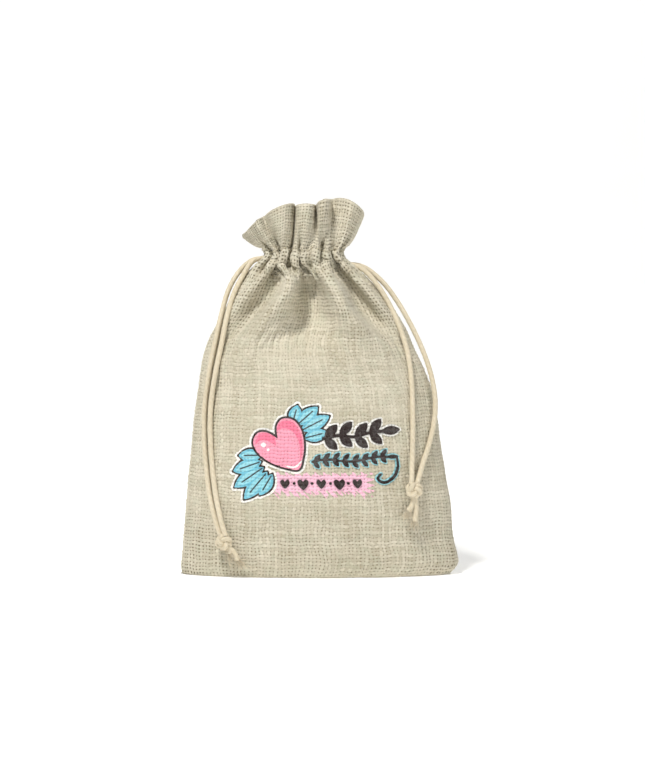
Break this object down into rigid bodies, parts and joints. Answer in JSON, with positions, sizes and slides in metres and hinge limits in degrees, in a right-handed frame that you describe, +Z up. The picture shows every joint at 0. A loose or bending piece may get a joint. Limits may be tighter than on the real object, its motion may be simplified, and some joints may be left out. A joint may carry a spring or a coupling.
{
  "type": "drawstring gift sack",
  "caption": "Small filled-out burlap gift sack with a gathered neck, a ruffled top, a printed front and a drawstring with a knotted loop on each side.",
  "frame": {"origin": "on the surface it stands on, under the middle of the flat base", "axes": "+Z up, +X to the right seen from the printed front, the printed front faces -Y"},
  "size_m": [0.1, 0.0352, 0.1343],
  "materials": {
    "burlap": "coarse plain weave, matte",
    "thread": "matte sewing thread and overlocked edge",
    "print_ink": "matte heat-transfer print",
    "cotton_cord": "matte twisted cotton"
  },
  "bodies": {
    "sack": {"front_panel": "burlap", "back_panel": "burlap", "base_cloth": "burlap", "front_casing_strip": "burlap", "back_casing_strip": "burlap", "left_side_seam": "thread", "right_side_seam": "thread", "bottom_seam": "thread", "upper_stitch_row": "thread", "lower_stitch_row": "thread", "print_film": "print_ink", "left_cord_run": "cotton_cord", "right_cord_run": "cotton_cord"},
    "front_mouth": {"front_ruffle": "burlap"},
    "back_mouth": {"back_ruffle": "burlap"},
    "left_feed": {"left_cord_feed": "cotton_cord"},
    "left_loop": {"left_outer_strand": "cotton_cord", "left_inner_strand": "cotton_cord", "left_knot": "cotton_cord", "left_tails": "cotton_cord"},
    "right_feed": {"right_cord_feed": "cotton_cord"},
    "right_loop": {"right_outer_strand": "cotton_cord", "right_inner_strand": "cotton_cord", "right_knot": "cotton_cord", "right_tails": "cotton_cord"}
  },
  "joints": [
    {"name": "front_mouth_open", "type": "hinge", "parent": "sack", "child": "front_mouth", "pos_m": [-0.0064, -0.0108, 0.117], "axis": [1, 0, 0], "range_deg": [0, 22]},
    {"name": "back_mouth_open", "type": "hinge", "parent": "sack", "child": "back_mouth", "pos_m": [-0.0064, 0.0108, 0.117], "axis": [-1, 0, 0], "range_deg": [0, 22]},
    {"name": "left_pull", "type": "slide", "parent": "sack", "child": "left_feed", "axis": [-1, 0, 0], "range_m": [0, 0.004]},
    {"name": "right_pull", "type": "slide", "parent": "sack", "child": "right_feed", "axis": [1, 0, 0], "range_m": [0, 0.004]},
    {"name": "left_swing", "type": "hinge", "parent": "left_feed", "child": "left_loop", "pos_m": [-0.0213, 0, 0.1129], "axis": [-1, 0, 0], "range_deg": [0, 95]},
    {"name": "right_swing", "type": "hinge", "parent": "right_feed", "child": "right_loop", "pos_m": [0.0085, 0, 0.1105], "axis": [-1, 0, 0], "range_deg": [0, 95]}
  ]
}
